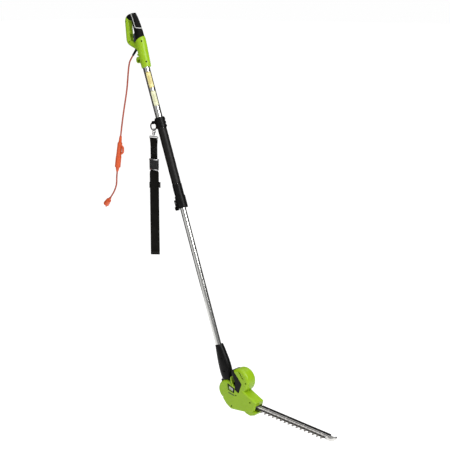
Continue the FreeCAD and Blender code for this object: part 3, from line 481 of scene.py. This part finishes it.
def label(name, finish, low, high, half_angle):
    """A wrapped label between two heights on the pole, drawn in a little towards its corners."""
    rows, columns, radius, middle, film = 24, 24, 15.12, math.radians(-38), 0.16
    points, maps = [], []
    for layer in (0.0, film):
        for i in range(rows + 1):
            v = 2 * i / rows - 1
            for j in range(columns + 1):
                u = 2 * j / columns - 1
                squeeze = 1 - 0.10 * max(0.0, (abs(v) - 0.86) / 0.14) ** 3
                turn = middle + half_angle * u * squeeze
                dip = 1 - 0.03 * max(0.0, (abs(u) - 0.8) / 0.2) ** 3
                along = (low + high) / 2 + (high - low) / 2 * v * dip
                r = radius + layer
                points.append(on_pole(r * math.cos(turn), r * math.sin(turn), along))
                maps.append((u, v))
    width = columns + 1
    sheet = (rows + 1) * width
    faces = []
    for i in range(rows):
        for j in range(columns):
            a = i * width + j
            faces.append((sheet + a, sheet + a + 1, sheet + a + 1 + width, sheet + a + width))
            faces.append((a, a + width, a + width + 1, a + 1))
    edge = [j for j in range(width)] + [i * width + columns for i in range(1, rows + 1)]
    edge += [rows * width + j for j in range(columns - 1, -1, -1)]
    edge += [i * width for i in range(rows - 1, 0, -1)]
    for a, b in zip(edge, edge[1:] + edge[:1]):
        faces.append((a, b, b + sheet, a + sheet))
    return add_piece(name, points, faces, finish, "handle", "silver_tube", maps=maps)


label("yellow_label", label_finish("yellow film", (0.70, 0.62, 0.28), (0.40, 0.31, 0.08)), 330, 399, 0.72)
label("green_label", label_finish("pale green film", (0.66, 0.66, 0.44), (0.42, 0.42, 0.24)), 252, 317, 0.72)


# ---- Foam sleeve ----
# Closed-cell foam tube pushed over the upper tube as the second handhold, slightly rolled at its ends. Its
# skin is pitted, and it swells and dips a little along its length.
def foam_finish():
    finish, place = new_finish("black foam", Specular_IOR_Level=0.22)
    pits = place.via("ShaderNodeTexVoronoi", {}, {"Vector": place, "Scale": 750.0})
    crumb = grain(place, 260.0, 4.0, 0.6)
    dust = steps(grain(place, 30.0, 4.0), (0.4, 0.0), (0.8, 1.0))
    skin = tint(crumb * 0.4 + dust * 0.4, (0.0020, 0.0017, 0.0015), (0.0105, 0.0092, 0.0082))
    return coat(finish, Base_Color=skin,
                Roughness=0.38 + crumb * 0.16, Normal=relief(crumb + pits * 0.6, 0.0004, 0.6))


def foam_sleeve():
    rings, around = 130, 96
    low, high, bore, outside, roll, quarter = -84.0, 157.5, 15.15, 19.1, 3.4, 7
    profile = [(bore, low + 0.4)]
    for k in range(quarter):
        t = math.radians(-90 + 90 * k / (quarter - 1))
        profile.append((outside - roll + roll * math.cos(t), low + roll + roll * math.sin(t)))
    for k in range(1, rings):
        profile.append((outside, low + roll + (high - low - 2 * roll) * k / rings))
    for k in range(quarter):
        t = math.radians(90 * k / (quarter - 1))
        profile.append((outside - roll + roll * math.cos(t), high - roll + roll * math.sin(t)))
    profile.append((bore, high - 0.4))
    points, faces = [], []
    for i, (r, along) in enumerate(profile):
        for j in range(around):
            t = 2 * math.pi * j / around
            swell = 0.16 * math.sin(along * 0.11 + 2 * math.sin(t)) + 0.10 * math.sin(along * 0.31 + 3 * t)
            r_here = r + (swell if r > (bore + outside) / 2 else 0.0)
            points.append(on_pole(r_here * math.cos(t), r_here * math.sin(t), along))
        if i:
            for j in range(around):
                a, b = (i - 1) * around + j, (i - 1) * around + (j + 1) % around
                faces.append((a, b, b + around, a + around))
    last = (len(profile) - 1) * around
    for j in range(around):
        faces.append((j, j + last, (j + 1) % around + last, (j + 1) % around))
    return add_piece("foam_sleeve", points, faces, foam_finish(), "handle", "foam")


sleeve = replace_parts(foam_sleeve(), "foam_grip")


# ---- Collar, clamp and lever ----
# Glass-filled black nylon: the collar with its eye for the carrying ring, the sleeve and block that hold
# the two tubes, and the cam lever that locks them.
clad(black_plastic, "strap_collar", "clamp_sleeve", "clamp_block", "clamp_lever")


# ---- Carrying ring and strap hardware ----
# A ring of coated wire through the collar's eye, and the moulded buckle and slider of the shoulder strap.
# The buckle's nylon is a little greyer than the clamp's.
strap_x = 0.0875
ring_coating = black_finish("coated wire", (0.005, 0.005, 0.005), (0.014, 0.014, 0.014), 0.30)
clad(ring_coating, "carry_ring")
buckle_plastic = black_finish("buckle nylon", (0.022, 0.022, 0.022), (0.050, 0.050, 0.049), 0.40)
clad(buckle_plastic, "buckle_socket", "buckle_plug", "strap_slider")


def ring_sweep(path, radius, sides=12):
    """Round wire along a closed loop of points that lie in one plane facing Y."""
    points, faces, count = [], [], len(path)
    for i, here in enumerate(path):
        along = (Vector(path[(i + 1) % count]) - Vector(path[i - 1])).normalized()
        out = along.cross(Vector((0, 1, 0))).normalized()
        for k in range(sides):
            t = 2 * math.pi * k / sides
            points.append(Vector(here) + radius * (math.cos(t) * out + math.sin(t) * Vector((0, 1, 0))))
            a, b = i * sides + k, i * sides + (k + 1) % sides
            c, d = ((i + 1) % count) * sides + (k + 1) % sides, ((i + 1) % count) * sides + k
            faces.append((a, b, c, d))
    return points, faces


def round_slab(centre, half, corner, depth_steps=4):
    """A flat bar of half sizes (x, y, z), its long edges rolled by `corner` and its ends a little smaller."""
    points, faces = [], []
    ring = []
    for quarter, (sy, sz) in enumerate(((1, 1), (-1, 1), (-1, -1), (1, -1))):
        for k in range(depth_steps + 1):
            t = math.radians(90 * quarter + 90 * k / depth_steps)
            ring.append((sy * (half[1] - corner) + corner * math.cos(t),
                         sz * (half[2] - corner) + corner * math.sin(t)))
    nose, shrink = 0.0006, 0.72
    ends = [(-half[0], shrink), (-half[0] + nose, 1.0), (half[0] - nose, 1.0), (half[0], shrink)]
    for x, swell in ends:
        points += [(centre[0] + x, centre[1] + y * swell, centre[2] + z * swell) for y, z in ring]
    size = len(ring)
    for i in range(len(ends) - 1):
        for k in range(size):
            a, b = i * size + k, i * size + (k + 1) % size
            faces.append((a, b, b + size, a + size))
    faces.append(tuple(range(size - 1, -1, -1)))
    faces.append(tuple(range((len(ends) - 1) * size, len(ends) * size)))
    return points, faces


# Bright plated bars cross the buckle's two ends, and a raised oval frames its middle.
add_piece("buckle_upper_bar", *round_slab((strap_x, 0, -0.5535), (0.0238, 0.0074, 0.0021), 0.0018), zinc,
          "strap_top", "bright_steel")
add_piece("buckle_lower_bar", *round_slab((strap_x, 0, -0.5966), (0.0222, 0.0058, 0.0021), 0.0018), zinc,
          "strap_loop", "bright_steel")
oval_steps, oval_wide, oval_high = 48, 0.0125, 0.0095
oval_path = [(strap_x + oval_wide * math.cos(2 * math.pi * k / oval_steps), -0.0064,
              -0.5725 + oval_high * math.sin(2 * math.pi * k / oval_steps)) for k in range(oval_steps)]
add_piece("buckle_oval", *ring_sweep(oval_path, 0.0009), buckle_plastic, "strap_top", "black_plastic")


# ---- Shoulder strap ----
# Black polypropylene webbing thirty-nine millimetres wide, woven in fine ribs with firmer selvedges. The
# upper length is a stitched tab round the wire loop; the lower is a long doubled loop that hangs free.
def webbing_finish():
    finish, place = new_finish("black webbing", coordinates="UV", Specular_IOR_Level=0.06)
    u = place.via("ShaderNodeSeparateXYZ", {}, {0: place}, out=0)
    v = place.via("ShaderNodeSeparateXYZ", {}, {0: place}, out=1)
    cross = u.math("SINE", u * 3500.0)
    ribs = u.math("SINE", v * 2900.0 + cross * 1.6)
    warp = u.math("ABSOLUTE", u.math("SINE", u * 1750.0))
    weave = ribs * 0.5 + warp * 0.6 + 0.4
    fuzz = grain(place, 900.0, 4.0, 0.7)
    faded = steps(grain(place, 24.0, 4.0), (0.35, 0.0), (0.75, 1.0))
    selvedge = steps(u.math("ABSOLUTE", u), (0.0168, 0.0), (0.0175, 1.0))
    yarn = tint(weave * 0.35 + faded * 0.35 + selvedge * 0.2, (0.0018, 0.0017, 0.0013),
                (0.0125, 0.0120, 0.0100))
    return coat(finish, Base_Color=yarn,
                Roughness=0.66 + fuzz * 0.2, Normal=relief(weave + fuzz * 0.4, 0.00035, 0.8))


webbing = webbing_finish()


def tape(name, line, width, thick, twist, body):
    """A woven tape along a line of (offset, height) points, turned about the upright by twist(height)."""
    columns, selvedge = 20, 0.00012
    section = []
    for j in range(columns + 1):
        u = -width / 2 + width * j / columns
        fullness = math.sqrt(max(0.0, 1 - (abs(2 * u / width)) ** 14))
        section.append((u, thick / 2 * fullness + selvedge))
    loop = [(u, t) for u, t in section] + [(u, -t) for u, t in reversed(section)]
    size = len(loop)
    points, maps, faces, run = [], [], [], 0.0
    for i, (offset, height) in enumerate(line):
        before, after = line[max(0, i - 1)], line[min(len(line) - 1, i + 1)]
        run += math.dist(line[i], line[i - 1]) if i else 0.0
        slope = math.atan2(after[0] - before[0], after[1] - before[1])
        angle = twist(height)
        for u, t in loop:
            out, rise = offset + t * math.cos(slope), height - t * math.sin(slope)
            points.append((strap_x + u * math.cos(angle) - out * math.sin(angle),
                           u * math.sin(angle) + out * math.cos(angle), rise))
            maps.append((u, run))
        if i:
            for k in range(size):
                a, b = (i - 1) * size + k, (i - 1) * size + (k + 1) % size
                faces.append((a, b, b + size, a + size))
    faces.append(tuple(reversed(range(size))))
    faces.append(tuple(range((len(line) - 1) * size, len(line) * size)))
    return add_piece(name, points, faces, webbing, body, "webbing", maps=maps)


def straight(height):
    return 0.0


def tab_line():
    """Up the front from the buckle, round the wire loop and down the back."""
    leg = [(0.0009, -0.5508), (0.0009, -0.5400), (0.0009, -0.5200), (0.0010, -0.4950), (0.0018, -0.4850),
           (0.0030, -0.4770), (0.0034, -0.4700)]
    line = [(-offset, height) for offset, height in leg]
    for k in range(9):
        t = math.radians(180 + 180 * k / 8)
        line.append((0.0034 * math.cos(t), -0.4652 - 0.0034 * math.sin(t)))
    return line + leg[::-1]


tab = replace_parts(tape("strap_tab", tab_line(), 0.0388, 0.0015, straight, "strap_top"), "upper_webbing")


def strap_twist(height):
    """The strap hangs flat at the buckle's bar and turns towards the front just below it."""
    turn_from, turn_over, full_turn = -0.5995, 0.0110, math.radians(36)
    t = min(1.0, max(0.0, (turn_from - height) / turn_over))
    return full_turn * t * t * (3 - 2 * t)


def loop_line():
    """Down the front from the buckle's bar, folded at the foot and up the back."""
    line, rows, top, drop = [], 149, -0.5985, 0.3665
    bow_from, bow_over = -0.880, 0.085
    for k in range(rows):
        height = top - (drop * k / (rows - 1))
        bow = 0.0012 * math.sin(math.pi * max(0.0, bow_from - height) / bow_over)
        line.append((-0.00092 - bow * 0.6, height))
    foot = [(-0.0012, -0.9660), (-0.0006, -0.9668), (0.0006, -0.9668), (0.0012, -0.9660)]
    return line + foot + [(-a, b) for a, b in reversed(line)]


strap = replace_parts(tape("shoulder_strap", loop_line(), 0.0388, 0.0015, strap_twist, "strap_loop"),
                    "lower_webbing")


# ---- Stitching ----
# Bonded polyester thread, a shade lighter than the webbing: a boxed cross under the wire loop and rows
# across the foot of the strap.
def thread_finish():
    finish, place = new_finish("polyester thread", Roughness=0.55)
    ply = grain(place, 2600.0, 2.0)
    return coat(finish, Base_Color=tint(ply, (0.05, 0.05, 0.05), (0.11, 0.11, 0.11)),
                Normal=relief(ply, 0.0001))


def seam(name, runs, out, twist, body):
    """Stitches along runs of (width, height) points, on both faces of the tape."""
    points, faces = [], []
    pitch, thin, full = 0.0034, 0.00012, 0.00042
    for (u0, h0), (u1, h1) in runs:
        length = math.dist((u0, h0), (u1, h1))
        count = max(1, round(length / pitch))
        for k in range(count):
            for face in (-1, 1):
                ends = [(u0 + (u1 - u0) * (k + part) / count, h0 + (h1 - h0) * (k + part) / count)
                        for part in (0.12, 0.5, 0.88)]
                du, dh = (u1 - u0) / length, (h1 - h0) / length
                start = len(points)
                for (u, h), radius in zip(ends, (thin, full, thin)):
                    for q in range(6):
                        t = math.pi * q / 3
                        sideways, outwards = radius * math.cos(t), out + radius * math.sin(t) * 0.7
                        uu, hh = u - dh * sideways, h + du * sideways
                        angle = twist(hh)
                        off = face * outwards
                        points.append((strap_x + uu * math.cos(angle) - off * math.sin(angle),
                                       uu * math.sin(angle) + off * math.cos(angle), hh))
                for ring in (0, 6):
                    for q in range(6):
                        a, b = start + ring + q, start + ring + (q + 1) % 6
                        faces.append((a, b, b + 6, a + 6))
                faces.append(tuple(start + q for q in range(5, -1, -1)))
                faces.append(tuple(start + 12 + q for q in range(6)))
    return add_piece(name, points, faces, thread, body, "webbing")


thread = thread_finish()
left, right, top, foot = -0.0165, 0.0165, -0.4990, -0.5260
box = [(left, top), (right, top), (right, foot), (left, foot), (left, top)]
cross = [((left, top), (right, foot)), ((right, top), (left, foot))]
seam("tab_stitches", list(zip(box, box[1:])) + cross, 0.00185, straight, "strap_top")
seam("foot_stitches", [((-0.0170, -0.9560), (0.0170, -0.9560)), ((-0.0170, -0.9600), (0.0170, -0.9600))],
     0.0019, strap_twist, "strap_loop")


# ---- Neck ----
# Two black nylon halves, screwed together round the foot of the lower tube and tapered out to the tilt
# joint. They are the same nylon as the clamp.
clad(black_plastic, "neck_shell_near", "neck_shell_far")


# ---- Head ----
# Lime-green housing halves over the motor and gears, screwed together, with the squeeze lever that frees the
# tilt joint, made black as painted shade of the gap inside the joint.
# Pale plates show in black frames on the pivot that are painted shade round the window openings, over a plain
# dark bar.
head_lime = lime_finish("lime head", 60.0)
clad(head_lime, "head_shell_near", "head_shell_far")
# The tilt lever's black is painted shade of the gap inside the joint.
clad(black_plastic, "tilt_lever", "cooling_fan")


def copper_finish():
    finish, place = new_finish("copper windings", Metallic=1.0)
    turns = place.via("ShaderNodeTexWave", {}, {"Vector": place, "Scale": 420.0})
    return coat(finish, Base_Color=tint(turns, (0.42, 0.16, 0.07), (0.72, 0.32, 0.15)),
                Roughness=0.3 + turns * 0.15)


clad(copper_finish(), "armature")


# The tilt pin is 965 mm down the pole from the foam grip's zero, and the blades start turned by 25 degrees.
pin_along, turn_cos, turn_sin = 965.0, 0.9063, 0.4226


def on_head(along, side, above):
    """Row-frame point from millimetres along the blades, beside and above the tilt pin."""
    return on_pole(along * turn_cos + above * turn_sin, side,
                   above * turn_cos - along * turn_sin - pin_along)


# Black frames round the windows: painted shade round the window openings.
window = [(10, 26), (37, 18), (38, 3), (14, 9)]
window_rim = [(5.5, 31), (44.3, 21.5), (44.5, 0.5), (11, 5.5)]
behind, proud = 24.6, 27.5
shade_frame_points, shade_frame_faces = [], []
for face in (-1, 1):
    start = len(shade_frame_points)
    for outline, side in ((window, behind), (window, proud), (window_rim, proud), (window_rim, behind)):
        shade_frame_points += [on_head(u, face * side, w) for u, w in outline]
    for ring in range(4):
        for k in range(4):
            a, b = start + 4 * ring, start + 4 * ((ring + 1) % 4)
            shade_frame_faces.append((a + k, a + (k + 1) % 4, b + (k + 1) % 4, b + k)[::face])
add_piece("window_shade_frames", shade_frame_points, shade_frame_faces, black_plastic, "head", "black_plastic", smooth=False)


def plate_finish():
    finish, place = new_finish("dark green plate", Specular_IOR_Level=0.4, Roughness=0.42)
    green = tint(grain(place, 90.0, 4.0), (0.050, 0.085, 0.008), (0.075, 0.125, 0.014))
    return coat(finish, Base_Color=green, Normal=relief(grain(place, 1300.0, 1.0), 0.0001))


plate_outline = [(15, -3.0), (47, -6.2), (46.6, -11.2), (14.6, -8.0)]
plate_points = [on_head(u, side, w) for side in (-26.6, -27.5) for u, w in plate_outline]
plate_faces = [(0, 1, 2, 3), (7, 6, 5, 4)] + [(k, k + 4, (k + 1) % 4 + 4, (k + 1) % 4) for k in range(4)]
add_piece("blank_plate", plate_points, plate_faces, plate_finish(), "head", "lime_plastic", smooth=False)


# ---- Blades ----
# Two hardened steel blades, toothed along one side, that slide past each other under a support bar. Bolts
# hold the stack together, and a bright guard curls up past the tip.
def blade_finish():
    """Black-oxide steel, ground bright at the teeth."""
    finish, place = new_finish("blade steel", Specular_IOR_Level=0.3)
    side = place.via("ShaderNodeSeparateXYZ", {}, {0: place}, out=1)
    lines = grain(place, 600.0, 3.0)
    teeth = steps(0.5 - side * 20.0, (0.80, 0.0), (0.84, 1.0))
    rust = steps(grain(place, 80.0, 4.0), (0.5, 0.0), (0.8, 1.0))
    black = tint(lines * 0.5 + rust * 0.4, (0.012, 0.011, 0.010), (0.045, 0.040, 0.034))
    ground = tint(lines, (0.34, 0.32, 0.30), (0.20, 0.185, 0.17))
    colour = mixed(teeth, black, ground)
    return coat(finish, Base_Color=colour, Metallic=0.08 + teeth * 0.8, Roughness=0.40 + lines * 0.12,
                Normal=relief(lines, 0.00006))


def bar_finish():
    """Two ground steel lands along the bar, coloured near white as a painted highlight, with black on the
    back rail and a black stripe between the lands that is painted shade of a groove.
    """
    finish, place = new_finish("bar steel", Specular_IOR_Level=0.3)
    side = place.via("ShaderNodeSeparateXYZ", {}, {0: place}, out=1)
    lines = grain(place, 500.0, 3.0)
    # Mask: black on the back rail, and between the lands a black stripe that is painted shade of a groove.
    rail_and_groove_shade = steps(side * 20.0 + 0.5, (0.40, 0.0), (0.41, 1.0), (0.515, 1.0), (0.525, 0.0), (0.575, 0.0),
                 (0.585, 1.0))
    # The lands' near-white colour is ground steel with a painted highlight.
    ground_steel_and_highlight = tint(lines, (0.92, 0.90, 0.88), (0.74, 0.72, 0.69))
    black_and_groove_shade = tint(lines, (0.010, 0.010, 0.010), (0.028, 0.027, 0.026))
    colour = mixed(rail_and_groove_shade, ground_steel_and_highlight, black_and_groove_shade)
    return coat(finish, Base_Color=colour, Metallic=0.55 - rail_and_groove_shade * 0.5,
                Roughness=0.26 + rail_and_groove_shade * 0.14 + lines * 0.1, Normal=relief(lines, 0.00006))


clad(blade_finish(), "blade_upper", "blade_lower")
clad(bar_finish(), "support_bar")
clad(steel_finish("guard steel", (0.70, 0.69, 0.67), (0.50, 0.49, 0.46), 0.28, 700.0),
     "tip_guard", "blade_bolts")

bpy.context.scene.view_settings.view_transform = "Standard"
